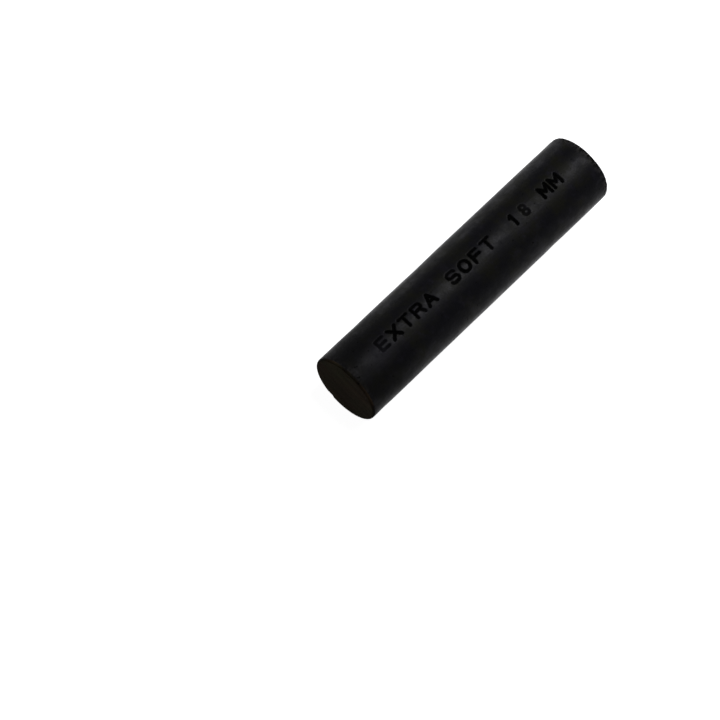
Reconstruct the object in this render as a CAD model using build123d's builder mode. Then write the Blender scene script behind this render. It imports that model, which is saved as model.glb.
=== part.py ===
"""Chunky round drawing stick of compressed charcoal, pressed in one piece and stamped along its barrel.

The stick lies on the ground plane with its axis along X. Under it is a narrow flat, which is an assumption: such a
stick may get one where it lies while it dries, and a truly round stick would roll. The origin is under its middle,
the drawing end points to -X and the stamp reads from the drawing end to the butt end with its letter tops towards
+Y. All sizes are in millimetres.
"""

from build123d import *

import os
from math import cos, radians, sin, sqrt

os.makedirs("parts", exist_ok=True)

# ---- The pressed stick ----
stick_diameter = 18.0
stick_length = 81.0
drawing_edge_radius = 0.6  # the drawing end has rubbed round a little
butt_edge_radius = 0.35  # the cut end is nearly sharp
drying_flat_width = 3.2  # assumed: 0.14 mm deep, so that the stick tips off it at 10 degrees

# ---- The stamp: what it says and where it is on the barrel ----
grade_text = "EXTRA SOFT"
size_text = f"{stick_diameter:.0f} MM"
grade_pitch = 3.95  # from one letter to the next
size_pitch = 3.6
grade_to_size_gap = 5.8  # clear barrel between the grade and the size
stamp_clock = -9.0  # middle of the letters, in degrees from the top of the barrel towards +Y

# ---- The stamp: its type ----
cap_height = 3.5  # outside height of a character
letter_width = 3.15  # outside width of the widest letters
stroke_width = 0.7
stamp_depth = 0.35

# ---- Sizes that follow from the ones above ----
stick_radius = stick_diameter / 2
axis_height = sqrt(stick_radius**2 - (drying_flat_width / 2) ** 2)
drawing_end_x = -stick_length / 2
grade_length = grade_pitch * (len(grade_text) - 1) + letter_width
size_length = size_pitch * (len(size_text) - 1) + letter_width
grade_start = (stick_length - grade_length - grade_to_size_gap - size_length) / 2  # the stamp is centred
size_start = grade_start + grade_length + grade_to_size_gap
stamp_lines = ((grade_text, grade_start, grade_pitch), (size_text, size_start, size_pitch))
stamp_floor_radius = stick_radius - stamp_depth
stamp_root_radius = stick_radius * 0.9  # where the stamp's walls start, well inside its floor
stamp_normal = (0, sin(radians(stamp_clock)), cos(radians(stamp_clock)))

axis_plane = Plane(origin=(drawing_end_x, 0, axis_height), x_dir=(0, 1, 0), z_dir=(1, 0, 0))
stamp_plane = Plane(origin=(drawing_end_x, 0, axis_height), x_dir=(1, 0, 0), z_dir=stamp_normal)

# ---- Centre lines of the characters, in a cell as wide and as high as a letter less one stroke ----
width = letter_width - stroke_width
height = cap_height - stroke_width
bowl = height / 4  # radius of the bowls of R and S
upper_ring = height * 0.235  # radius of the 8's upper ring
lower_ring = height / 2 - upper_ring


def draw_line(x0, y0, x1, y1):
    """A straight stroke between two places given as shares of the cell's width and height."""
    Line((width * x0, height * y0), (width * x1, height * y1))


def draw_ring(middle, radius):
    """A round stroke, in two halves, about a place on the cell's middle line."""
    for start in (0, 180):
        CenterArc((width / 2, middle), radius, start, 180)


def draw_box(left, right):
    """A closed stroke the height of the cell, with its corners rounded almost to a circle."""
    corners = ((left, 0), (right, 0), (right, height), (left, height))
    FilletPolyline(*corners, radius=0.45 * min(right - left, height), close=True)


def draw_0():
    draw_box(width * 0.12, width * 0.88)


def draw_1():
    draw_line(0.5, 0, 0.5, 1)
    draw_line(0.5, 1, 0.24, 0.78)


def draw_2():
    bend = CenterArc((width / 2, height - bowl), bowl, -30, 200)
    Line(bend @ 0, (width / 2 - bowl, 0))
    Line((width / 2 - bowl, 0), (width / 2 + bowl, 0))


def draw_3():
    CenterArc((width / 2, height - upper_ring), upper_ring, -90, 230)
    CenterArc((width / 2, lower_ring), lower_ring, -140, 230)


def draw_4():
    draw_line(0.7, 0, 0.7, 1)
    draw_line(0.7, 1, 0.1, 0.32)
    draw_line(0.1, 0.32, 0.95, 0.32)


def draw_5():
    bend = CenterArc((width / 2, lower_ring), lower_ring, -140, 270)
    Line(bend @ 1, (width * 0.28, height))
    draw_line(0.28, 1, 0.8, 1)


def draw_6():
    draw_ring(lower_ring, lower_ring)
    Line((width / 2 - lower_ring * 0.94, lower_ring * 1.34), (width * 0.68, height))


def draw_7():
    draw_line(0.15, 1, 0.85, 1)
    draw_line(0.85, 1, 0.4, 0)


def draw_8():
    draw_ring(height - upper_ring, upper_ring)
    draw_ring(lower_ring, lower_ring)


def draw_9():
    draw_ring(height - lower_ring, lower_ring)
    Line((width / 2 + lower_ring * 0.94, height - lower_ring * 1.34), (width * 0.32, 0))


def draw_a():
    draw_line(0, 0, 0.5, 1)
    draw_line(1, 0, 0.5, 1)
    draw_line(0.16, 0.32, 0.84, 0.32)


def draw_e():
    draw_f()
    draw_line(0, 0, 0.9, 0)


def draw_f():
    draw_line(0, 0, 0, 1)
    draw_line(0, 0.5, 0.9, 0.5)
    draw_line(0, 1, 0.9, 1)


def draw_m():
    Polyline((0, 0), (0, height), (width / 2, height * 0.35), (width, height), (width, 0))


def draw_o():
    draw_box(0, width)


def draw_r():
    draw_line(0, 0, 0, 1)
    for level in (height / 2, height):
        Line((0, level), (width - bowl, level))
    CenterArc((width - bowl, height - bowl), bowl, -90, 180)
    Line((width - bowl, height / 2), (width, 0))


def draw_s():
    for level in (0, height / 2, height):
        Line((bowl, level), (width - bowl, level))
    CenterArc((bowl, height - bowl), bowl, 90, 180)
    CenterArc((width - bowl, bowl), bowl, -90, 180)
    CenterArc((width - bowl, height - bowl), bowl, 25, 65)
    CenterArc((bowl, bowl), bowl, 205, 65)


def draw_t():
    draw_line(0, 1, 1, 1)
    draw_line(0.5, 0, 0.5, 1)


def draw_x():
    draw_line(0, 0, 1, 1)
    draw_line(0, 1, 1, 0)


type_case = {
    "0": draw_0, "1": draw_1, "2": draw_2, "3": draw_3, "4": draw_4,
    "5": draw_5, "6": draw_6, "7": draw_7, "8": draw_8, "9": draw_9,
    "A": draw_a, "E": draw_e, "F": draw_f, "M": draw_m, "O": draw_o,
    "R": draw_r, "S": draw_s, "T": draw_t, "X": draw_x,
}


# ---- The stamp, as the body of charcoal that it pushes in ----
with BuildPart() as stamp:
    with BuildSketch(stamp_plane.offset(stamp_root_radius)):
        for text, start, pitch in stamp_lines:
            for place, character in enumerate(text):
                if character == " ":
                    continue
                with BuildLine(mode=Mode.PRIVATE) as centre_lines:
                    type_case[character]()
                with Locations((start + pitch * place + stroke_width / 2, -height / 2)):
                    for stroke in centre_lines.edges():
                        SlotArc(stroke, stroke_width)
    extrude(amount=stick_radius - stamp_root_radius + stamp_depth)
    # Its floor follows the round of the barrel, so the letters are the same depth all over.
    with BuildSketch(axis_plane):
        Circle(stamp_floor_radius)
    extrude(amount=stick_length, mode=Mode.SUBTRACT)


# ---- The stick ----
with BuildPart() as charcoal_stick:
    with BuildSketch(axis_plane):
        Circle(stick_radius)
    extrude(amount=stick_length)
    fillet(charcoal_stick.edges().filter_by(GeomType.CIRCLE).sort_by(Axis.X)[0], drawing_edge_radius)
    fillet(charcoal_stick.edges().filter_by(GeomType.CIRCLE).sort_by(Axis.X)[-1], butt_edge_radius)
    split(bisect_by=Plane.XY, keep=Keep.TOP)
    add(stamp.part, mode=Mode.SUBTRACT)

charcoal_stick.part.label = "charcoal_stick"
export_step(charcoal_stick.part, "parts/charcoal_stick.step")
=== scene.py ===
"""Charcoal stick: a chunky round stick of compressed charcoal on a pale studio floor.

The stick lies along X on the floor, with its drawing end towards -X. Its surface is worked out here as one
closed mesh: two end faces, two chipped rims and a barrel with the stamp pressed into it. Every mark is cut
inwards from the plain stick of the frame, so nothing stands outside its box. Sizes in the formulas are
millimetres.
"""

from collections import namedtuple
from math import radians

import bpy
import numpy as np
from bpy.props import FloatProperty, FloatVectorProperty, PointerProperty, StringProperty
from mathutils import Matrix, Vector


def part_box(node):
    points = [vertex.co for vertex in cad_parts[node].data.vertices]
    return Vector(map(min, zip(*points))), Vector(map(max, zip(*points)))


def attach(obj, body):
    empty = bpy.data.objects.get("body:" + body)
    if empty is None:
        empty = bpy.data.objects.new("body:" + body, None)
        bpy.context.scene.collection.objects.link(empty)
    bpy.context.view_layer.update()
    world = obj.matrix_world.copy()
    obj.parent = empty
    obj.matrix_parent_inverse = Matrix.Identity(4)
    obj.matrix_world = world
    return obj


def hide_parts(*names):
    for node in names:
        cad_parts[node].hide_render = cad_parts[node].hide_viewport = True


bl_info = {
    "name": "Charcoal Stick",
    "version": (1, 0, 0),
    "blender": (4, 5, 0),
    "location": "View3D > Sidebar > Charcoal",
    "description": "Builds a stamped stick of compressed charcoal and a pale studio for it",
    "category": "Add Mesh",
}

MM = 0.001  # metres in a millimetre
NODE = "charcoal_stick"

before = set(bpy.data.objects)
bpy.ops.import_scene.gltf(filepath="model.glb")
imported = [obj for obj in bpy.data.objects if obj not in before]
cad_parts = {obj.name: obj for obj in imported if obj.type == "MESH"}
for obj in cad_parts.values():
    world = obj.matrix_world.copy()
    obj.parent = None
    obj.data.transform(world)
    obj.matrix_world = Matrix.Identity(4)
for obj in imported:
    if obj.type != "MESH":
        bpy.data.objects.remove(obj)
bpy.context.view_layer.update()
stick_low, stick_high = (np.array(corner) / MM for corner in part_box(NODE))
STICK_LENGTH = stick_high[0] - stick_low[0]
STICK_RADIUS = min(stick_high[1], -stick_low[1])
AXIS_Z = stick_high[2] - STICK_RADIUS  # less than the radius, because the stick lies on a narrow flat


def linear(hex_colour):
    """The linear colour of an sRGB hex value such as "1c1a19"."""
    srgb = np.array([int(hex_colour[i : i + 2], 16) for i in (0, 2, 4)]) / 255
    return tuple(np.where(srgb <= 0.04045, srgb / 12.92, ((srgb + 0.055) / 1.055) ** 2.4))


# -----------------------------------------------------------------------------------------------------------
# Sizes and colours
# -----------------------------------------------------------------------------------------------------------


def length(name, description, millimetres):
    """A length property whose default is given in millimetres."""
    return FloatProperty(
        name=name, description=description, default=millimetres * MM, unit="LENGTH", precision=5
    )


def colour(name, description, hex_colour):
    """A colour property whose default is an sRGB hex value."""
    return FloatVectorProperty(
        name=name, description=description, default=linear(hex_colour), subtype="COLOR", size=3, min=0, max=1
    )


class CharcoalStickSettings(bpy.types.PropertyGroup):
    """Sizes and colours of the stick."""

    grade_text: StringProperty(
        name="Grade", description="Stamped hardness grade, in letters from A E F M O R S T X",
        default="EXTRA SOFT",
    )
    size_text: StringProperty(
        name="Size", description="Stamped diameter, in the same letters and the digits 1 and 8",
        default="18 MM",
    )
    grade_start: length("Grade start", "From the drawing end to the first letter", 9.475)
    grade_pitch: length("Grade pitch", "From one letter of the grade to the next", 3.95)
    size_start: length("Size start", "From the drawing end to the first digit", 53.975)
    size_pitch: length("Size pitch", "From one character of the size to the next", 3.6)
    stamp_clock: FloatProperty(
        name="Stamp clock", description="Middle of the letters, from the top of the barrel towards +Y",
        default=radians(-9.0), subtype="ANGLE",
    )
    cap_height: length("Cap height", "Outside height of a stamped character", 3.5)
    letter_width: length("Letter width", "Outside width of the widest letters", 3.15)
    stroke_width: length("Stroke width", "Width of a stamped stroke", 0.7)
    stamp_depth: length("Stamp depth", "Depth of a fully struck character", 0.35)
    drawing_edge: length("Drawing edge", "Rounding of the rubbed rim", 0.6)
    butt_edge: length("Butt edge", "Rounding of the cut rim", 0.35)
    skin_colour: colour("Skin", "Charcoal as the press leaves it", "0a0a0d")
    dusty_colour: colour("Dust", "Loose charcoal dust rubbed into the skin", "19181d")
    olive_colour: colour("Olive cast", "Skin where more of the binder shows", "10100a")
    cut_colour: colour("Cut face", "Dry charcoal where the stick was cut", "2a251c")
    broken_colour: colour("Broken rim", "Fresh charcoal where the rim crumbled", "262423")
    # Also used as painted shade: in the stamp's grooves, in the pinholes and over the drawing end.
    stamp_and_shade_colour: colour("Stamp floor", "Crushed charcoal at the bottom of the stamp", "030303")


class CharcoalStudioSettings(bpy.types.PropertyGroup):
    """Floor, light and camera."""

    floor_colour: colour("Floor", "Pale floor", "9a9a9a")
    floor_size: length("Floor size", "Side of the square floor", 6000.0)
    floor_glow: FloatProperty(
        name="Floor glow", description="Light from under the floor, as on a light table", default=0.97
    )
    floor_bounce: FloatProperty(
        name="Floor bounce", description="Share of the glow that lights the stick", default=0.36
    )
    key_power: FloatProperty(
        name="Key light", description="Power of the overhead soft box", default=3.3, unit="POWER"
    )
    rear_power: FloatProperty(
        name="Rear light", description="Power of the low soft box behind", default=1.3, unit="POWER"
    )
    key_width: length("Key width", "Size of the overhead soft box along the stick", 190.0)
    key_depth: length("Key depth", "Size of the overhead soft box across the stick", 560.0)
    rear_width: length("Rear width", "Width of the low soft box behind", 900.0)
    rear_height: length("Rear height", "Height of the low soft box behind", 120.0)
    camera_elevation: FloatProperty(
        name="Camera elevation", description="Height of the view above the floor", default=radians(61.0),
        subtype="ANGLE",
    )
    camera_azimuth: FloatProperty(
        name="Camera azimuth", description="Turn of the view about the vertical", default=radians(-47.2),
        subtype="ANGLE",
    )
    camera_distance: length("Camera distance", "From the middle of the stick to the camera", 795.0)
    camera_lens: FloatProperty(name="Lens", description="Focal length in mm", default=172.45)
    frame_right: length("Off centre right", "How far the stick stands right of the picture's middle", 24.0)
    frame_up: length("Off centre up", "How far the stick stands above the picture's middle", 19.2)


# -----------------------------------------------------------------------------------------------------------
# Fields: depth of every mark, in millimetres, over whole arrays of points
# -----------------------------------------------------------------------------------------------------------

NOISE_CELLS = 256  # random values along each side of a noise table


def smooth_step(low, high, value):
    """0 below low, 1 above high, and an S-shaped cubic between them."""
    t = np.clip((value - low) / (high - low), 0, 1)
    return t * t * (3 - 2 * t)


def smooth_noise(across, along, seed, wrap=NOISE_CELLS):
    """Random values from 0 to 1 on the corners of unit cells, blended by smooth steps.

    The values repeat every wrap cells along, so that a pattern can close round the barrel. A whole number
    that is added to a place only picks another part of the table.
    """
    table = np.random.default_rng(seed).random((NOISE_CELLS, NOISE_CELLS))
    i, j = np.floor(across).astype(int), np.floor(along).astype(int)
    u, v = smooth_step(0, 1, across - i), smooth_step(0, 1, along - j)
    i, i_next = i % NOISE_CELLS, (i + 1) % NOISE_CELLS
    j, j_next = j % wrap, (j + 1) % wrap
    near = table[i, j] * (1 - v) + table[i, j_next] * v
    far = table[i_next, j] * (1 - v) + table[i_next, j_next] * v
    return near * (1 - u) + far * u


def line(x0, y0, x1, y1):
    """A straight stroke. Returns a function that gives the distance from points to it."""

    def distance(x, y):
        dx, dy = x1 - x0, y1 - y0
        t = np.clip(((x - x0) * dx + (y - y0) * dy) / (dx * dx + dy * dy), 0, 1)
        return np.hypot(x - x0 - t * dx, y - y0 - t * dy)

    return distance


def arc(cx, cy, radius, start, sweep):
    """A stroke along a circle from start degrees, through sweep degrees. Returns its distance function."""

    def distance(x, y):
        from_start = (np.degrees(np.arctan2(y - cy, x - cx)) - start) % 360
        ends = [np.radians(start), np.radians(start + sweep)]
        to_ends = [np.hypot(x - cx - radius * np.cos(a), y - cy - radius * np.sin(a)) for a in ends]
        to_circle = np.abs(np.hypot(x - cx, y - cy) - radius)
        return np.where(from_start <= sweep, to_circle, np.minimum(*to_ends))

    return distance


def type_case(w, h):
    """Strokes of the stamped characters, in a cell w wide and h high. Bowls are circles of a quarter of h."""
    bowl = h / 4
    upper, lower = h * 0.235, h * 0.265  # radii of the 8's two rings
    stem = line(0, 0, 0, h)
    return {
        "E": [stem, line(0, 0, w * 0.9, 0), line(0, h / 2, w * 0.9, h / 2), line(0, h, w * 0.9, h)],
        "X": [line(0, 0, w, h), line(0, h, w, 0)],
        "T": [line(0, h, w, h), line(w / 2, 0, w / 2, h)],
        "R": [
            stem, line(0, h, w - bowl, h), line(0, h / 2, w - bowl, h / 2),
            arc(w - bowl, h - bowl, bowl, -90, 180), line(w - bowl, h / 2, w, 0),
        ],
        "A": [line(0, 0, w / 2, h), line(w, 0, w / 2, h), line(w * 0.16, h * 0.32, w * 0.84, h * 0.32)],
        "S": [
            line(bowl, 0, w - bowl, 0), line(bowl, h / 2, w - bowl, h / 2), line(bowl, h, w - bowl, h),
            arc(bowl, h - bowl, bowl, 90, 180), arc(w - bowl, bowl, bowl, -90, 180),
            arc(w - bowl, h - bowl, bowl, 25, 65), arc(bowl, bowl, bowl, 205, 65),
        ],
        "O": [
            arc(w / 2, h - w / 2, w / 2, 0, 180), arc(w / 2, w / 2, w / 2, 180, 180),
            line(0, w / 2, 0, h - w / 2), line(w, w / 2, w, h - w / 2),
        ],
        "F": [stem, line(0, h / 2, w * 0.9, h / 2), line(0, h, w * 0.9, h)],
        "M": [stem, line(0, h, w / 2, h * 0.35), line(w / 2, h * 0.35, w, h), line(w, h, w, 0)],
        "1": [line(w / 2, 0, w / 2, h), line(w / 2, h, w * 0.24, h * 0.78)],
        "8": [arc(w / 2, h - upper, upper, 0, 360), arc(w / 2, lower, lower, 0, 360)],
    }


# How hard each character was struck, from the drawing end: 1 is full depth. The press met the stick unevenly.
STRIKES = {
    "grade": (0.42, 0.9, 0.72, 0.62, 0.85, 1, 0.6, 0.9, 0.8, 0.64),
    "size": (0.95, 0.4, 1, 0.95, 0.88),
}
WALL = 0.11  # half the width of the sloping wall of a stroke
RAGGED = 0.12  # the range over which crumbling moves a stroke's edge
UNEVEN = 0.4  # the range of the depth within a character, as a share of it
RAGGED_CELL, UNEVEN_CELL = 0.3, 1.7  # the size of the patches in which the edge and the depth change


def stamp_relief(x, clock, stick):
    """Depth of the stamp at x from the drawing end and at an angle from the top of the barrel.

    Each stroke is a groove: full depth within half its width of the centre line, then a smooth wall. The
    edge is made ragged by noise, and each character has a depth of its own that drifts across it. Returns the
    depth in millimetres and as a share of the full depth.
    """
    h, w = (stick.cap_height - stick.stroke_width) / MM, (stick.letter_width - stick.stroke_width) / MM
    half_stroke = stick.stroke_width / MM / 2
    case = type_case(w, h)  # a character that it lacks is left as a space
    up = (clock - stick.stamp_clock) * STICK_RADIUS + h / 2
    share = np.zeros_like(x)
    ragged = (smooth_noise(x / RAGGED_CELL, up / RAGGED_CELL + 60, seed=11) - 0.5) * RAGGED
    drift = 1 + UNEVEN * (smooth_noise(x / UNEVEN_CELL, up / UNEVEN_CELL + 60, seed=13) - 0.5)
    lines = (
        (stick.grade_text, stick.grade_start, stick.grade_pitch, STRIKES["grade"]),
        (stick.size_text, stick.size_start, stick.size_pitch, STRIKES["size"]),
    )
    for text, start, pitch, strikes in lines:
        for place, character in enumerate(text):
            if character in case:
                left = (start + pitch * place) / MM + half_stroke
                here = np.abs(x - left - w / 2) < w
                along, across = (x - left)[here], up[here]
                distance = np.min([stroke(along, across) for stroke in case[character]], axis=0)
                distance = distance + ragged[here]
                groove = 1 - smooth_step(half_stroke - WALL, half_stroke + WALL, distance)
                struck = np.clip(strikes[place % len(strikes)] * drift[here], 0, 1)
                share[here] = np.maximum(share[here], groove * struck)
    return share * stick.stamp_depth / MM, share


def turn_between(clock, at):
    """The turn from one angle to others, from minus to plus half a turn."""
    return (clock - at + np.pi) % (2 * np.pi) - np.pi


DENTS = 40  # knocks on the barrel
DENT_MARGIN = 4  # how near to an end a dent may be
DENT_SIZES, DENT_DEPTHS = (0.6, 1.8), (0.02, 0.06)  # the smallest and the largest
DENT_STRETCH = 1.8  # how many times longer a dent is along the barrel than around it


def dents(x, clock):
    """Shallow knocks at random places: bell-shaped hollows, longer along the barrel than around it."""
    rng = np.random.default_rng(seed=5)
    depth = np.zeros_like(x)
    for _ in range(DENTS):
        at_x, at_clock = rng.uniform(DENT_MARGIN, STICK_LENGTH - DENT_MARGIN), rng.uniform(-np.pi, np.pi)
        size, deep = rng.uniform(*DENT_SIZES), rng.uniform(*DENT_DEPTHS)
        turn = turn_between(clock, at_clock)
        along, around = (x - at_x) / (DENT_STRETCH * size), turn * STICK_RADIUS / size
        depth += deep * np.exp(-(along**2 + around**2))
    return depth


# Unevenness of the barrel: the length of one wave along the stick, the number of waves around it, where in
# the table they start, and how deep they are.
Wave = namedtuple("Wave", "length around shift seed depth")
DRYING = Wave(length=13, around=6, shift=40, seed=1, depth=0.05)
DIE = Wave(length=3.5, around=28, shift=40, seed=2, depth=0.016)
GRAIN = Wave(length=1.1, around=90, shift=90, seed=3, depth=0.006)


def barrel_relief(x, clock):
    """Depth of the barrel's own unevenness: smooth noise for each kind of wave, and knocks."""
    turns = clock / (2 * np.pi)
    depth = np.zeros_like(x)
    for wave in (DRYING, DIE, GRAIN):
        around = turns * wave.around + wave.shift
        depth = depth + wave.depth * smooth_noise(x / wave.length, around, wave.seed, wrap=wave.around)
    return depth + dents(x, clock)


# How one end has worn. The edge is the radius of its rounding. Small chips are scattered round the rim, none
# deeper than deepest. The worst chip has an angle, a depth, a half width in radians and a reach of its own.
# Crumbling is a low roughness all the way round, just past the corner. Bare is how much of that band has lost
# its skin. Saw depth is the depth of the lines on the face.
EndWear = namedtuple(
    "EndWear",
    "edge seed at_butt chips deepest worst_clock worst_depth worst_width worst_reach crumble bare saw_depth",
)
CHIP_HALF_WIDTHS = 0.03, 0.1  # the narrowest and the widest small chip, in radians
CHIP_SLOPE = 0.55  # how fast a small chip gets shallower away from the corner
RIDGE_SLANT = 0.66  # how far the ridges in the worst chip lean, as a slope
RIDGE_WIDTH, RIDGE_LENGTH = 0.5, 4  # of one of those ridges
CRUMBLE_PLACE, CRUMBLE_REACH = 0.4, 0.38  # the crumbling is deepest this far past the middle of the rounding
BARE_PLACE, BARE_REACH = 0.5, 0.85  # and the same for the lost skin
CRUMBLE_PATCHES = 17  # patches of more and less crumbling round the rim
LUMPS, GRITS = 46, 96  # coarse and fine unevenness of the crumbling: how many round the rim
LUMP_WIDTH, GRIT_WIDTH = 0.9, 0.35  # and their size along the stick


def chip_depth(clock, from_corner, wear):
    """How much is broken away near a rim, at an angle and at a distance from the middle of its rounded edge.

    A chip is a scoop: a parabola round the rim, less a straight slope away from the corner. The worst one is
    a parabola times a straight slope, and ridges cross it slantwise. A low crumble runs all the way round,
    close to the corner. Returns the depth, and how bare of skin the place is.
    """
    rng = np.random.default_rng(wear.seed)
    turns = clock / (2 * np.pi)
    scoop = 0 * clock
    for _ in range(wear.chips):
        at, half_width = rng.uniform(-np.pi, np.pi), rng.uniform(*CHIP_HALF_WIDTHS)
        size = wear.deepest * rng.uniform(0.25, 1) ** 2
        parabola = np.clip(1 - (turn_between(clock, at) / half_width) ** 2, 0, 1)
        scoop = np.maximum(scoop, size * parabola**0.7)
    chip = np.maximum(scoop - CHIP_SLOPE * np.abs(from_corner), 0)

    turn = turn_between(clock, wear.worst_clock)
    across_ridges = from_corner + RIDGE_SLANT * turn * STICK_RADIUS
    along_ridges = RIDGE_SLANT * from_corner - turn * STICK_RADIUS
    ridges = smooth_noise(across_ridges / RIDGE_WIDTH + 90, along_ridges / RIDGE_LENGTH + 90, wear.seed + 7)
    parabola = np.clip(1 - (turn / wear.worst_width) ** 2, 0, 1)
    slope = np.clip(1 - np.abs(from_corner) / wear.worst_reach, 0, 1)
    chip = np.maximum(chip, wear.worst_depth * (parabola * slope) * (0.2 + 1.6 * ridges))

    patchy = smooth_noise(0 * turns + 9, turns * CRUMBLE_PATCHES, wear.seed + 4, wrap=CRUMBLE_PATCHES)
    coarse = smooth_noise(from_corner / LUMP_WIDTH + 200, turns * LUMPS, wear.seed + 3, wrap=LUMPS)
    fine = smooth_noise(from_corner / GRIT_WIDTH + 200, turns * GRITS, wear.seed + 5, wrap=GRITS)
    crumbling = np.exp(-(((from_corner - CRUMBLE_PLACE) / CRUMBLE_REACH) ** 2))
    crumb = wear.crumble * (0.3 + patchy) * (coarse**2 + 1.2 * fine**2) * crumbling
    band = np.exp(-(((from_corner - BARE_PLACE) / BARE_REACH) ** 2))
    bare = wear.bare * band * (0.4 + 0.6 * smooth_step(0.25, 0.6, patchy)) * (0.5 + 0.5 * coarse)
    return chip + crumb, np.maximum(bare, 0.75 * smooth_step(0.01, 0.05, chip))


SAW_LEAN = radians(20.6)  # the saw lines on the faces lean this far from level
SAW_LENGTHS, SAW_WIDTHS = (8, 5), (1.3, 0.5)  # of the coarse and the fine saw lines
SWELL, SWELL_DEPTH = 5, 0.05  # the face rises and falls over this length, by this depth
CRUMB, CRUMB_SLOPE = 0.55, 0.5  # the size of a torn out crumb, and how steeply it deepens
NO_CRUMBS = 0.86  # the share of the noise's range that tears out nothing


def face_relief(y, z, wear):
    """Depth of a cut face: long shallow saw lines that lean from level, and small crumbs torn out."""
    along = y * np.cos(SAW_LEAN) + z * np.sin(SAW_LEAN)
    across = z * np.cos(SAW_LEAN) - y * np.sin(SAW_LEAN)
    coarse = smooth_noise(along / SAW_LENGTHS[0] + 50, across / SAW_WIDTHS[0] + 50, wear.seed)
    fine = smooth_noise(along / SAW_LENGTHS[1] + 50, across / SAW_WIDTHS[1] + 90, wear.seed + 1)
    swell = smooth_noise(y / SWELL + 50, z / SWELL + 50, wear.seed + 2)
    crumbs = np.maximum(smooth_noise(y / CRUMB + 90, z / CRUMB + 90, wear.seed + 3) - NO_CRUMBS, 0)
    return wear.saw_depth * (coarse + 0.5 * fine) + SWELL_DEPTH * swell + CRUMB_SLOPE * crumbs


# -----------------------------------------------------------------------------------------------------------
# The mesh: rings of points joined into one closed surface
# -----------------------------------------------------------------------------------------------------------

RIM_POINTS = 336  # points round a rim, a multiple of 8
RIM_ANGLES = np.linspace(-np.pi, np.pi, RIM_POINTS, endpoint=False)
FACE_CELLS = RIM_POINTS // 4  # cells along each side of the square that is wrapped onto an end face
EDGE_TURNS = np.linspace(0, np.pi / 2, 9)  # the rings of a rounded edge, from its face to the barrel
PAST_EDGE = np.concatenate([[0.08, 0.18], np.arange(0.32, 2.3, 0.17)])  # the rings of the barrel beside it
COLUMN = 0.16  # spacing of the rings under the stamp
PLAIN_COLUMN = 0.4  # spacing of the rings elsewhere
JOIN = 0.25  # width of the strip that joins an end's rings to the barrel's
STAMP_MARGIN = 0.5  # how far the close rings run on past the stamp
STRIP_STEP = 0.1  # spacing of the points of a ring under the stamp
STRIP_MARGIN = 0.4  # how far the close points run on above and below the stamp
WIDEST_STEP = radians(4.4)  # the angle between the points of a ring elsewhere
STEP_GROWTH = 1.25  # between the two, each step is this many times wider than the last
SMOOTH_LIMIT = radians(60)  # a sharper edge than this is left sharp
SKIN, CUT, STAMP = 0, 1, 2  # material slots
STAMPED = 0.62  # how hard a face has to be struck to count as the stamp's floor


def square_to_disc(cells):
    """Points of a square grid moved onto the unit disc, so that squares about the middle become circles.

    A point's distance from the middle is the larger of its two coordinates, and its angle is a share of 90
    degrees about the nearest axis. Returns the distances, the clock angles, the grid's faces and the numbers
    of its border points, in order round the border.
    """
    side = np.linspace(-1, 1, cells + 1)
    a, b = np.meshgrid(side, side, indexing="ij")
    radius = np.maximum(np.abs(a), np.abs(b))
    safe = np.where(radius == 0, 1, radius)
    steep = np.abs(a) >= np.abs(b)
    angle = np.where(steep, b * np.sign(a) / safe, 2 - a * np.sign(b) / safe) * np.pi / 4
    angle = np.where(steep & (a < 0), angle + np.pi, np.where(~steep & (b < 0), angle + np.pi, angle))
    index = np.arange((cells + 1) ** 2).reshape(cells + 1, cells + 1)
    faces = np.stack([index[:-1, :-1], index[1:, :-1], index[1:, 1:], index[:-1, 1:]], -1).reshape(-1, 4)
    rim = np.concatenate([index[0, :-1], index[:-1, -1], index[-1, :0:-1], index[:0:-1, 0]])
    return radius.ravel(), (angle.ravel() + np.pi) % (2 * np.pi) - np.pi, faces, rim


def stitch(first, first_angles, second, second_angles):
    """Triangles between two closed rings of point numbers, given in order of rising angle.

    Walking round both rings at once, each step moves along whichever ring is behind and makes one triangle.
    """
    n, m = len(first), len(second)
    first_step = (first_angles + np.append(first_angles[1:], first_angles[0] + 2 * np.pi)) / 2
    second_step = (second_angles + np.append(second_angles[1:], second_angles[0] + 2 * np.pi)) / 2
    on_first = np.argsort(np.concatenate([first_step, second_step]), kind="stable") < n
    i, j = np.cumsum(on_first) - on_first, np.cumsum(~on_first) - ~on_first
    third = np.where(on_first, first[(i + 1) % n], second[(j + 1) % m])
    return np.stack([first[i % n], third, second[j % m]], -1)


def ring_quads(rings):
    """Quads between rings with the same number of points, given as one row of point numbers for each ring."""
    after = np.roll(rings, -1, axis=1)
    return np.stack([rings[:-1], after[:-1], after[1:], rings[1:]], -1).reshape(-1, 4)


def barrel_angles(stick):
    """Clock angles round the barrel: close together under the stamp, and widening steadily beside it."""
    fine = STRIP_STEP / STICK_RADIUS
    half = (stick.cap_height / MM / 2 + STRIP_MARGIN) / STICK_RADIUS
    strip = np.arange(-half, half, fine)
    steps = fine * STEP_GROWTH ** np.arange(1, 40)
    widening = np.cumsum(steps[steps < WIDEST_STEP])
    up = strip[-1] + widening
    down = strip[0] - widening[::-1]
    gap = 2 * np.pi - (up[-1] - down[0])
    steps_left = round(gap / WIDEST_STEP)
    rest = up[-1] + gap * np.arange(1, steps_left) / steps_left
    angles = np.concatenate([down, strip, up, rest]) + stick.stamp_clock
    return np.sort((angles + np.pi) % (2 * np.pi) - np.pi)


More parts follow.
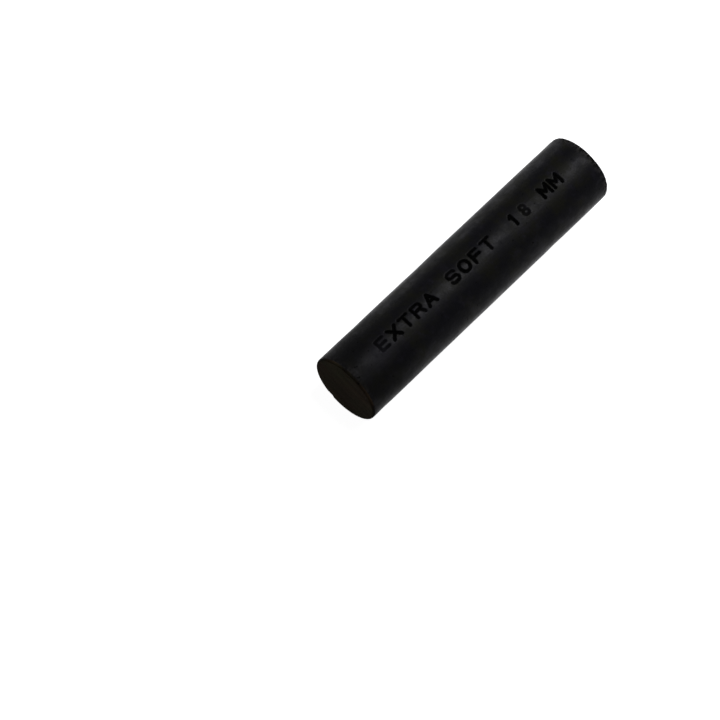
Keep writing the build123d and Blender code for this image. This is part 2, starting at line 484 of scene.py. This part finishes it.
class Shell:
    """Points, marks and faces of one closed surface, gathered part by part.

    A point is a row of five numbers: its place in millimetres, how hard the stamp struck it and how bare of
    skin it is.
    """

    def __init__(self):
        self.points, self.faces, self.materials, self.count = [], [], [], 0

    def add_points(self, x, r, clock, struck, bare):
        """Adds points at x from the drawing end and r from the axis, and returns their numbers.

        Points below the flat under the stick are pulled up onto it, towards the axis. The flat is narrow, so
        minus the cosine is near 1 there, and its limit of a half only guards the division elsewhere.
        """
        ground = AXIS_Z - stick_low[2]
        r = np.where(np.cos(clock) * r < -ground, ground / np.maximum(-np.cos(clock), 0.5), r)
        rows = np.stack([x + stick_low[0], r * np.sin(clock), AXIS_Z + r * np.cos(clock), struck, bare], -1)
        numbers = self.count + np.arange(x.size).reshape(x.shape)
        self.points.append(rows.reshape(-1, 5))
        self.count += x.size
        return numbers

    def add_faces(self, faces, material, turned):
        """Adds faces of one material. Those that are turned have their points put in the other order."""
        self.faces.append(faces[:, ::-1] if turned else faces)
        self.materials.append(np.full(len(faces), material))


def worn(from_end, r, clock, outwards, from_corner, wear):
    """Moves points near an end in by the relief of the face and barrel they belong to, and by the chips.

    outwards is 0 on the face and 1 on the barrel. Returns what Shell.add_points takes.
    """
    face = face_relief(r * np.sin(clock), r * np.cos(clock), wear) * (1 - outwards) ** 2
    plain_x = STICK_LENGTH - from_end if wear.at_butt else from_end
    skin = barrel_relief(plain_x, clock) * outwards**2
    chip, bare = chip_depth(clock, from_corner, wear)
    from_end = from_end + face + chip
    x = STICK_LENGTH - from_end if wear.at_butt else from_end
    return x, r - skin - chip, clock, 0 * x, bare


def add_end(shell, wear):
    """One end: its face, its rounded edge and the first of the barrel.

    Returns the end's last ring, and how far that is from the end.
    """
    turn = np.concatenate([EDGE_TURNS, np.full(len(PAST_EDGE), np.pi / 2)])[:, None]
    past = np.concatenate([0 * EDGE_TURNS, PAST_EDGE])[:, None]
    clock = np.broadcast_to(RIM_ANGLES, (len(turn), RIM_POINTS))
    from_end = wear.edge * (1 - np.cos(turn)) + past + 0 * clock
    r = STICK_RADIUS - wear.edge * (1 - np.sin(turn)) + 0 * clock
    from_corner = wear.edge * (turn - np.pi / 4) + past + 0 * clock
    rings = shell.add_points(*worn(from_end, r, clock, np.sin(turn) + 0 * clock, from_corner, wear))

    share, face_clock, face_quads, border = square_to_disc(FACE_CELLS)
    face_r = share * (STICK_RADIUS - wear.edge)
    from_corner = -(wear.edge * np.pi / 4 + STICK_RADIUS - wear.edge - face_r)
    disc = shell.add_points(*worn(0 * face_r, face_r, face_clock, 0 * face_r, from_corner, wear))
    border_angles = face_clock[border]
    order = np.argsort(np.where(border_angles > np.pi - 1e-6, -np.pi, border_angles))
    joined = np.arange(shell.count)
    joined[disc[border][order]] = rings[0]  # the face's outermost points are the edge's first ring
    # The skin starts half way round the butt's edge. The drawing end's edge is rubbed bare all the way round.
    skin_from = len(EDGE_TURNS) // 2 if wear.at_butt else len(EDGE_TURNS) - 1
    shell.add_faces(joined[disc[face_quads]], CUT, turned=wear.at_butt)
    shell.add_faces(ring_quads(rings[: skin_from + 1]), CUT, turned=not wear.at_butt)
    shell.add_faces(ring_quads(rings[skin_from:]), SKIN, turned=not wear.at_butt)
    return rings[-1], wear.edge + PAST_EDGE[-1]


def stick_surface(stick):
    """The whole stick as one shell: both ends, and the barrel between them with its stamp."""
    shell = Shell()
    drawing_end = EndWear(
        edge=stick.drawing_edge / MM, seed=21, at_butt=False, chips=8, deepest=0.12,
        worst_clock=radians(150), worst_depth=0.15, worst_width=0.12, worst_reach=0.8,
        crumble=0.03, bare=0.55, saw_depth=0.022,
    )
    butt_end = EndWear(
        edge=stick.butt_edge / MM, seed=31, at_butt=True, chips=26, deepest=0.17,
        worst_clock=radians(-86), worst_depth=0.08, worst_width=0.55, worst_reach=2.6,
        crumble=0.14, bare=1.0, saw_depth=0.03,
    )
    near_ring, near_in = add_end(shell, drawing_end)
    far_ring, far_in = add_end(shell, butt_end)

    angles = barrel_angles(stick)
    start, stop = near_in + JOIN, STICK_LENGTH - far_in - JOIN
    stamp_start = stick.grade_start / MM - STAMP_MARGIN
    last_letter = stick.size_start + stick.size_pitch * (len(stick.size_text) - 1)
    stamp_stop = (last_letter + stick.letter_width) / MM + STAMP_MARGIN
    x = np.concatenate([
        np.arange(start, stamp_start, PLAIN_COLUMN),
        np.arange(stamp_start, stamp_stop, COLUMN),
        np.linspace(stamp_stop, stop, round((stop - stamp_stop) / PLAIN_COLUMN)),
    ])
    x, clock = np.meshgrid(x, angles, indexing="ij")
    stamped, share = stamp_relief(x, clock, stick)
    rings = shell.add_points(x, STICK_RADIUS - barrel_relief(x, clock) - stamped, clock, share, 0 * x)
    quads = ring_quads(rings)
    stamp_floor = share.ravel()[quads - rings[0, 0]].mean(axis=1) > STAMPED
    shell.add_faces(quads[~stamp_floor], SKIN, turned=True)
    shell.add_faces(quads[stamp_floor], STAMP, turned=True)
    shell.add_faces(stitch(near_ring, RIM_ANGLES, rings[0], angles), SKIN, turned=True)
    shell.add_faces(stitch(far_ring, RIM_ANGLES, rings[-1], angles), SKIN, turned=False)
    return shell


def make_piece(name, shell):
    """An object from a shell, without the points that no face uses, and with the marks as attributes."""
    rows = np.concatenate(shell.points)
    used = np.unique(np.concatenate([part.ravel() for part in shell.faces]))
    number = np.zeros(len(rows), int)
    number[used] = np.arange(len(used))
    rows = rows[used]
    mesh = bpy.data.meshes.new(name)
    faces = [face for part in shell.faces for face in number[part].tolist()]
    mesh.from_pydata((rows[:, :3] * MM).tolist(), [], faces)
    mesh.polygons.foreach_set("material_index", np.concatenate(shell.materials))
    for column, mark in ((3, "struck"), (4, "bare")):
        marks = mesh.attributes.new(mark, "FLOAT", "POINT")
        marks.data.foreach_set("value", rows[:, column].astype(np.float32))
    mesh.validate()
    mesh.shade_smooth()
    mesh.set_sharp_from_angle(angle=SMOOTH_LIMIT)
    piece = bpy.data.objects.new(name, mesh)
    bpy.context.collection.objects.link(piece)
    return piece


# -----------------------------------------------------------------------------------------------------------
# Materials
# -----------------------------------------------------------------------------------------------------------


def add_node(tree, kind, settings=None, links=None):
    """Adds a node, sets its properties and sockets by name or number, and links its inputs to sockets."""
    node = tree.nodes.new(kind)
    for name, value in (settings or {}).items():
        if isinstance(name, str) and hasattr(node, name):
            setattr(node, name, value)
        else:
            node.inputs[name].default_value = value
    for name, socket in (links or {}).items():
        tree.links.new(socket, node.inputs[name])
    return node


def new_material(name):
    """An empty material with a Principled shader on its output."""
    material = bpy.data.materials.new(name)
    material.use_nodes = True
    tree = material.node_tree
    tree.nodes.clear()
    shader = add_node(tree, "ShaderNodeBsdfPrincipled")
    add_node(tree, "ShaderNodeOutputMaterial", links={"Surface": shader.outputs[0]})
    return material, tree, shader


def extruded_charcoal(stick):
    """Compressed charcoal, burnished by the die that it was pushed through.

    Ground charcoal in a binder is close to black all over. The die packs and rubs the skin, which gives it a
    dull grey shine with faint lines along the stick. Drying and handling leave it blotchy, with dust rubbed
    in near the drawing end. The stamp breaks the skin, so its floor is dull, and so is a crumbled rim.
    """
    material, tree, shader = new_material("extruded_charcoal")
    place = add_node(tree, "ShaderNodeTexCoord").outputs["Object"]
    struck = add_node(tree, "ShaderNodeAttribute", {"attribute_name": "struck"}).outputs["Fac"]
    bare = add_node(tree, "ShaderNodeAttribute", {"attribute_name": "bare"}).outputs["Fac"]

    # Blotches as from drying, 4 to 9 mm across, mixed with smaller ones as from fingers, about 2 mm.
    settings = {"Scale": 1 / (9 * MM), "Detail": 6.0, "Roughness": 0.7}
    drying = add_node(tree, "ShaderNodeTexNoise", settings, {"Vector": place})
    settings = {"Scale": 1 / (2.6 * MM), "Detail": 5.0, "Roughness": 0.7}
    fingers = add_node(tree, "ShaderNodeTexNoise", settings, {"Vector": place})
    mixed = {2: drying.outputs["Fac"], 3: fingers.outputs["Fac"]}
    blotches = add_node(tree, "ShaderNodeMix", {"data_type": "FLOAT", 0: 0.62}, mixed).outputs[0]

    # Patches 3 to 5 mm across have an olive cast, as where more of the binder shows.
    settings = {"Scale": 1 / (5 * MM), "Detail": 4.0, "Roughness": 0.6}
    patches = add_node(tree, "ShaderNodeTexNoise", settings, {"Vector": place})
    settings = {"interpolation_type": "SMOOTHSTEP", "From Min": 0.42, "From Max": 0.66}
    olive = add_node(tree, "ShaderNodeMapRange", settings, {"Value": patches.outputs["Fac"]})
    settings = {"data_type": "RGBA", 6: (*stick.skin_colour, 1), 7: (*stick.olive_colour, 1)}
    skin = add_node(tree, "ShaderNodeMix", settings, {0: olive.outputs[0]}).outputs[2]
    settings = {"interpolation_type": "SMOOTHSTEP", "From Min": 0.46, "From Max": 0.70}
    dust = add_node(tree, "ShaderNodeMapRange", settings, {"Value": blotches})
    settings = {"data_type": "RGBA", 7: (*stick.dusty_colour, 1)}
    skin = add_node(tree, "ShaderNodeMix", settings, {0: dust.outputs[0], 6: skin}).outputs[2]

    # The skin is painted darker over the last 22 mm towards the drawing end: painted shade, as the light
    # falls off towards that end. It is also duller there.
    along_x = add_node(tree, "ShaderNodeSeparateXYZ", links={0: place}).outputs["X"]
    settings = {"interpolation_type": "SMOOTHSTEP", "From Min": -18 * MM, "From Max": -36 * MM, "To Max": 0.6}
    shaded_duller_end = add_node(tree, "ShaderNodeMapRange", settings, {"Value": along_x})
    settings = {"data_type": "RGBA", 7: (*stick.stamp_and_shade_colour, 1)}
    skin = add_node(tree, "ShaderNodeMix", settings, {0: shaded_duller_end.outputs[0], 6: skin}).outputs[2]

    # A ragged smudge of dust, about 9 mm long, near the drawing end and in front of the top of the barrel.
    settings = {"operation": "SUBTRACT", 1: (-32 * MM, -2.8 * MM, AXIS_Z * MM + 8.5 * MM)}
    off = add_node(tree, "ShaderNodeVectorMath", settings, {0: place})
    settings = {"operation": "MULTIPLY", 1: (1 / (5.5 * MM), 1 / (4 * MM), 1 / (4 * MM))}
    scaled = add_node(tree, "ShaderNodeVectorMath", settings, {0: off.outputs[0]})
    away = add_node(tree, "ShaderNodeVectorMath", {"operation": "LENGTH"}, {0: scaled.outputs[0]})
    distances = {0: fingers.outputs["Fac"], 2: away.outputs["Value"]}
    ragged = add_node(tree, "ShaderNodeMath", {"operation": "MULTIPLY_ADD", 1: 1.6}, distances)
    settings = {"interpolation_type": "SMOOTHSTEP", "From Min": 1.9, "From Max": 0.9, "To Max": 0.65}
    smudge = add_node(tree, "ShaderNodeMapRange", settings, {"Value": ragged.outputs[0]})
    settings = {"data_type": "RGBA", 7: (*stick.dusty_colour, 1)}
    skin = add_node(tree, "ShaderNodeMix", settings, {0: smudge.outputs[0], 6: skin}).outputs[2]

    # Pinholes, about 0.3 mm, drawn in colour only: they are painted black as painted shade in the pits.
    settings = {"Scale": 1 / (0.9 * MM), "Detail": 2.0, "Roughness": 0.5}
    holes = add_node(tree, "ShaderNodeTexNoise", settings, {"Vector": place})
    settings = {"interpolation_type": "SMOOTHSTEP", "From Min": 0.69, "From Max": 0.76}
    pinhole_shade = add_node(tree, "ShaderNodeMapRange", settings, {"Value": holes.outputs["Fac"]}).outputs[0]
    settings = {"data_type": "RGBA", 7: (*stick.stamp_and_shade_colour, 1)}
    skin = add_node(tree, "ShaderNodeMix", settings, {0: pinhole_shade, 6: skin}).outputs[2]

    # Where the skin is gone, pale and dark grains show, drawn at about 0.4 mm. Real ones are finer.
    settings = {"Scale": 1 / (0.8 * MM), "Detail": 2.0, "Roughness": 0.6}
    grains = add_node(tree, "ShaderNodeTexNoise", settings, {"Vector": place})
    flecks = add_node(tree, "ShaderNodeValToRGB", links={"Fac": grains.outputs["Fac"]})
    flecks.color_ramp.elements[0].position = 0.45
    flecks.color_ramp.elements[0].color = (*[0.1 * c for c in stick.broken_colour], 1)
    flecks.color_ramp.elements[1].position = 0.57
    flecks.color_ramp.elements[1].color = (*[1.3 * c for c in stick.broken_colour], 1)
    broken = {0: bare, 6: skin, 7: flecks.outputs["Color"]}
    skin = add_node(tree, "ShaderNodeMix", {"data_type": "RGBA"}, broken).outputs[2]

    # The stamp's walls are painted darker towards its floor: partly crushed charcoal, partly painted shade in
    # the groove.
    settings = {"interpolation_type": "SMOOTHSTEP", "From Min": 0.0, "From Max": 0.65}
    stamp_shade = add_node(tree, "ShaderNodeMapRange", settings, {"Value": struck})
    settings = {"data_type": "RGBA", 7: (*stick.stamp_and_shade_colour, 1)}
    skin = add_node(tree, "ShaderNodeMix", settings, {0: stamp_shade.outputs[0], 6: skin})
    tree.links.new(skin.outputs[2], shader.inputs["Base Color"])

    # Die lines run along the stick: the pattern is 40 times longer than it is wide.
    along = add_node(tree, "ShaderNodeMapping", {"Scale": (0.025, 1, 1)}, {"Vector": place})
    settings = {"Scale": 1 / (0.6 * MM), "Detail": 3.0, "Roughness": 0.5}
    die_lines = add_node(tree, "ShaderNodeTexNoise", settings, {"Vector": along.outputs[0]}).outputs["Fac"]

    # The palest blotches are rubbed and smoother. The last 22 mm towards the drawing end, and a broken,
    # pitted or stamped place, are duller.
    settings = {
        "interpolation_type": "SMOOTHSTEP",
        "From Min": 0.40, "From Max": 0.60, "To Min": 0.48, "To Max": 0.30,
    }
    rubbed = add_node(tree, "ShaderNodeMapRange", settings, {"Value": blotches})
    links = {0: die_lines, 2: rubbed.outputs[0]}
    lined = add_node(tree, "ShaderNodeMath", {"operation": "MULTIPLY_ADD", 1: 0.08}, links)
    links = {0: shaded_duller_end.outputs[0], 2: lined.outputs[0]}
    end_roughness = add_node(tree, "ShaderNodeMath", {"operation": "MULTIPLY_ADD", 1: 0.22}, links)
    settings = {"interpolation_type": "SMOOTHSTEP", "From Min": 0.05, "From Max": 0.5}
    crushed = add_node(tree, "ShaderNodeMapRange", settings, {"Value": struck})
    dull = add_node(tree, "ShaderNodeMath", {"operation": "MAXIMUM"}, {0: bare, 1: crushed.outputs[0]})
    dull = add_node(tree, "ShaderNodeMath", {"operation": "MAXIMUM"}, {0: dull.outputs[0], 1: pinhole_shade})
    duller = {0: dull.outputs[0], 2: end_roughness.outputs[0]}
    roughness = add_node(tree, "ShaderNodeMix", {"data_type": "FLOAT", 3: 1.0}, duller)
    tree.links.new(roughness.outputs[0], shader.inputs["Roughness"])

    # The grain is drawn at about 0.2 mm, so that it shows. Real ground charcoal is finer.
    settings = {"Scale": 1 / (0.5 * MM), "Detail": 4.0, "Roughness": 0.6}
    grain = add_node(tree, "ShaderNodeTexNoise", settings, {"Vector": place})
    links = {0: die_lines, 2: grain.outputs["Fac"]}
    height = add_node(tree, "ShaderNodeMath", {"operation": "MULTIPLY_ADD", 1: 0.7}, links)
    settings = {"Strength": 0.6, "Distance": 0.05 * MM}
    bump = add_node(tree, "ShaderNodeBump", settings, {"Height": height.outputs[0]})
    tree.links.new(bump.outputs[0], shader.inputs["Normal"])
    shader.inputs["IOR"].default_value = 1.14  # a solid binder has 1.5: matched to how little the skin shines
    shader.inputs["Sheen Weight"].default_value = 0.25  # loose dust, which shows palest edge-on
    shader.inputs["Sheen Roughness"].default_value = 0.25
    return material


def stamped_charcoal(stick):
    """Compressed charcoal crushed by the stamp: loose black grains with no skin, so it hardly shines. Its
    near-black is partly the crushed grains and partly painted shade in the groove.
    """
    material, tree, shader = new_material("stamped_charcoal")
    place = add_node(tree, "ShaderNodeTexCoord").outputs["Object"]
    settings = {"Scale": 1 / (0.3 * MM), "Detail": 3.0, "Roughness": 0.6}
    grain = add_node(tree, "ShaderNodeTexNoise", settings, {"Vector": place}).outputs["Fac"]
    tone = add_node(tree, "ShaderNodeValToRGB", links={"Fac": grain})
    tone.color_ramp.elements[0].position = 0.4
    tone.color_ramp.elements[0].color = (*[0.5 * c for c in stick.stamp_and_shade_colour], 1)
    tone.color_ramp.elements[1].position = 0.75
    tone.color_ramp.elements[1].color = (*[4 * c for c in stick.stamp_and_shade_colour], 1)
    tree.links.new(tone.outputs["Color"], shader.inputs["Base Color"])
    bump = add_node(tree, "ShaderNodeBump", {"Strength": 0.8, "Distance": 0.05 * MM}, {"Height": grain})
    tree.links.new(bump.outputs[0], shader.inputs["Normal"])
    shader.inputs["Roughness"].default_value = 1.0
    shader.inputs["IOR"].default_value = 1.02
    return material


def sawn_charcoal(stick):
    """Compressed charcoal where the stick was cut to length: dry, open and brownish, with faint saw lines.

    Loose dust lies on it, so it is a little paler where it is seen edge-on.
    """
    material, tree, shader = new_material("sawn_charcoal")
    place = add_node(tree, "ShaderNodeTexCoord").outputs["Object"]
    leaning = add_node(tree, "ShaderNodeMapping", {"Rotation": (-SAW_LEAN, 0, 0)}, {"Vector": place})
    stretched = add_node(tree, "ShaderNodeMapping", {"Scale": (1, 0.12, 1)}, {"Vector": leaning.outputs[0]})
    settings = {"Scale": 1 / (1.8 * MM), "Detail": 3.0, "Roughness": 0.5}
    saw = add_node(tree, "ShaderNodeTexNoise", settings, {"Vector": stretched.outputs[0]})
    settings = {"Scale": 1 / (0.4 * MM), "Detail": 4.0, "Roughness": 0.6}
    grain = add_node(tree, "ShaderNodeTexNoise", settings, {"Vector": place})
    tone = add_node(tree, "ShaderNodeValToRGB", links={"Fac": saw.outputs["Fac"]})
    tone.color_ramp.elements[0].position = 0.35
    tone.color_ramp.elements[0].color = (*[0.75 * c for c in stick.cut_colour], 1)
    tone.color_ramp.elements[1].position = 0.7
    tone.color_ramp.elements[1].color = (*[1.2 * c for c in stick.cut_colour], 1)

    # Patches about 3 mm wide are a little pinker or greener, as from a binder that dried unevenly.
    settings = {"Scale": 1 / (6 * MM), "Detail": 3.0, "Roughness": 0.6}
    patches = add_node(tree, "ShaderNodeTexNoise", settings, {"Vector": place})
    cast = add_node(tree, "ShaderNodeValToRGB", links={"Fac": patches.outputs["Fac"]})
    cast.color_ramp.elements[0].position = 0.4
    cast.color_ramp.elements[0].color = (1.0, 0.86, 0.84, 1)
    cast.color_ramp.elements[1].position = 0.6
    cast.color_ramp.elements[1].color = (0.88, 1.0, 0.84, 1)
    settings = {"data_type": "RGBA", "blend_type": "MULTIPLY", 0: 1.0}
    tinted = add_node(tree, "ShaderNodeMix", settings, {6: tone.outputs["Color"], 7: cast.outputs["Color"]})

    # Where the rim is bare it is painted with the colour of the skin: painted shade, so that no pale line of
    # light runs round the face.
    bare = add_node(tree, "ShaderNodeAttribute", {"attribute_name": "bare"})
    settings = {"interpolation_type": "SMOOTHSTEP", "From Min": 0.05, "From Max": 0.4, "To Max": 0.8}
    rim_shade = add_node(tree, "ShaderNodeMapRange", settings, {"Value": bare.outputs["Fac"]})
    settings = {"data_type": "RGBA", 7: (*stick.skin_colour, 1)}
    shaded_rim = add_node(tree, "ShaderNodeMix", settings, {0: rim_shade.outputs[0], 6: tinted.outputs[2]})
    tree.links.new(shaded_rim.outputs[2], shader.inputs["Base Color"])

    lines_and_grain = {0: saw.outputs["Fac"], 2: grain.outputs["Fac"]}
    relief = add_node(tree, "ShaderNodeMath", {"operation": "MULTIPLY_ADD", 1: 0.8}, lines_and_grain)
    settings = {"Strength": 0.5, "Distance": 0.06 * MM}
    bump = add_node(tree, "ShaderNodeBump", settings, {"Height": relief.outputs[0]})
    tree.links.new(bump.outputs[0], shader.inputs["Normal"])
    shader.inputs["Roughness"].default_value = 1.0
    shader.inputs["IOR"].default_value = 1.04
    shader.inputs["Sheen Weight"].default_value = 0.2  # loose dust, which shows palest edge-on
    shader.inputs["Sheen Roughness"].default_value = 0.25
    return material


def opal_acrylic_sheet(studio):
    """Cast opal acrylic over a lamp, as on a light table: white all over, with only a faint shadow.

    The camera sees more of the glow than the stick gets, or the lamp would wash the stick out.
    """
    material, tree, shader = new_material("opal_acrylic_sheet")
    shader.inputs["Base Color"].default_value = (*studio.floor_colour, 1)
    shader.inputs["Roughness"].default_value = 0.9
    shader.inputs["Emission Color"].default_value = (1, 1, 1, 1)
    seen = add_node(tree, "ShaderNodeLightPath").outputs["Is Camera Ray"]
    settings = {"To Min": studio.floor_glow * studio.floor_bounce, "To Max": studio.floor_glow}
    glow = add_node(tree, "ShaderNodeMapRange", settings, {"Value": seen})
    tree.links.new(glow.outputs["Result"], shader.inputs["Emission Strength"])
    return material


# -----------------------------------------------------------------------------------------------------------
# Operators
# -----------------------------------------------------------------------------------------------------------


class CHARCOAL_OT_stick(bpy.types.Operator):
    """Build the stamped stick of compressed charcoal"""

    bl_idname = "charcoal.stick"
    bl_label = "Charcoal Stick"

    def execute(self, context):
        stick = context.scene.charcoal_stick
        piece = make_piece("pressed_charcoal_stick", stick_surface(stick))
        piece.data.materials.append(extruded_charcoal(stick))
        piece.data.materials.append(sawn_charcoal(stick))
        piece.data.materials.append(stamped_charcoal(stick))
        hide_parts(NODE)
        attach(piece, "root")
        return {"FINISHED"}


OVERHEAD_PLACE, REAR_PLACE = (0.28, -0.075, 0.42), (0.25, 0.8, 0.05)  # the soft boxes, in metres
LAMP_COLOUR = (0.97, 0.97, 1.0)
WORLD_SEEN, WORLD_LIGHT = 1.0, 0.03  # how bright the surroundings look, and how much they light the stick


def add_soft_box(name, place, size, power, target):
    """A rectangular area light at a place in metres, turned to face the target."""
    light = bpy.data.lights.new(name, "AREA")
    light.shape = "RECTANGLE"
    light.size, light.size_y = size
    light.energy = power
    light.color = LAMP_COLOUR
    lamp = bpy.data.objects.new(name, light)
    lamp.location = Vector(place)
    lamp.rotation_euler = (target - lamp.location).to_track_quat("-Z", "Y").to_euler()
    bpy.context.scene.collection.objects.link(lamp)


class CHARCOAL_OT_studio(bpy.types.Operator):
    """Build the pale floor, the soft light and the camera"""

    bl_idname = "charcoal.studio"
    bl_label = "Studio"

    def execute(self, context):
        studio = context.scene.charcoal_studio
        scene = context.scene
        scene.view_settings.view_transform = "Standard"
        middle = Vector((stick_low + stick_high) / 2 * MM)

        half = studio.floor_size / 2
        corners = [(-half, -half, 0), (half, -half, 0), (half, half, 0), (-half, half, 0)]
        floor_mesh = bpy.data.meshes.new("floor")
        floor_mesh.from_pydata(corners, [], [(0, 1, 2, 3)])
        floor = bpy.data.objects.new("floor", floor_mesh)
        scene.collection.objects.link(floor)
        floor.data.materials.append(opal_acrylic_sheet(studio))

        key_size, rear_size = (studio.key_width, studio.key_depth), (studio.rear_width, studio.rear_height)
        add_soft_box("overhead_soft_box", OVERHEAD_PLACE, key_size, studio.key_power, middle)
        add_soft_box("rear_soft_box", REAR_PLACE, rear_size, studio.rear_power, middle)

        world = bpy.data.worlds.new("studio")
        world.use_nodes = True
        tree = world.node_tree
        tree.nodes.clear()
        seen = add_node(tree, "ShaderNodeLightPath")
        dim = add_node(tree, "ShaderNodeBackground", {"Color": (1, 1, 1, 1), "Strength": WORLD_LIGHT})
        white = add_node(tree, "ShaderNodeBackground", {"Color": (1, 1, 1, 1), "Strength": WORLD_SEEN})
        either = {0: seen.outputs["Is Camera Ray"], 1: dim.outputs[0], 2: white.outputs[0]}
        mixed = add_node(tree, "ShaderNodeMixShader", links=either)
        add_node(tree, "ShaderNodeOutputWorld", links={"Surface": mixed.outputs[0]})
        scene.world = world

        turn, rise = studio.camera_azimuth, studio.camera_elevation
        back = Vector((np.sin(turn) * np.cos(rise), -np.cos(turn) * np.cos(rise), np.sin(rise)))
        right = Vector((np.cos(turn), np.sin(turn), 0))
        up = back.cross(right)
        camera = bpy.data.objects.new("camera", bpy.data.cameras.new("camera"))
        camera.data.lens = studio.camera_lens
        camera.data.clip_start = 0.01
        centred = middle + back * studio.camera_distance
        camera.location = centred - right * studio.frame_right - up * studio.frame_up
        camera.rotation_euler = back.to_track_quat("Z", "Y").to_euler()
        scene.collection.objects.link(camera)
        scene.camera = camera
        return {"FINISHED"}


class VIEW3D_PT_charcoal(bpy.types.Panel):
    """Buttons and sizes of the charcoal stick"""

    bl_idname = "VIEW3D_PT_charcoal"
    bl_label = "Charcoal Stick"
    bl_space_type = "VIEW_3D"
    bl_region_type = "UI"
    bl_category = "Charcoal"

    def draw(self, context):
        for operator, settings in (
            (CHARCOAL_OT_stick, context.scene.charcoal_stick),
            (CHARCOAL_OT_studio, context.scene.charcoal_studio),
        ):
            self.layout.operator(operator.bl_idname)
            for name in settings.__annotations__:
                self.layout.prop(settings, name)


classes = (
    CharcoalStickSettings, CharcoalStudioSettings, CHARCOAL_OT_stick, CHARCOAL_OT_studio, VIEW3D_PT_charcoal,
)


def register():
    for cls in classes:
        bpy.utils.register_class(cls)
    bpy.types.Scene.charcoal_stick = PointerProperty(type=CharcoalStickSettings)
    bpy.types.Scene.charcoal_studio = PointerProperty(type=CharcoalStudioSettings)


def unregister():
    del bpy.types.Scene.charcoal_studio
    del bpy.types.Scene.charcoal_stick
    for cls in reversed(classes):
        bpy.utils.unregister_class(cls)


def main():
    register()
    bpy.ops.charcoal.stick()
    bpy.ops.charcoal.studio()


if __name__ == "__main__":
    main()
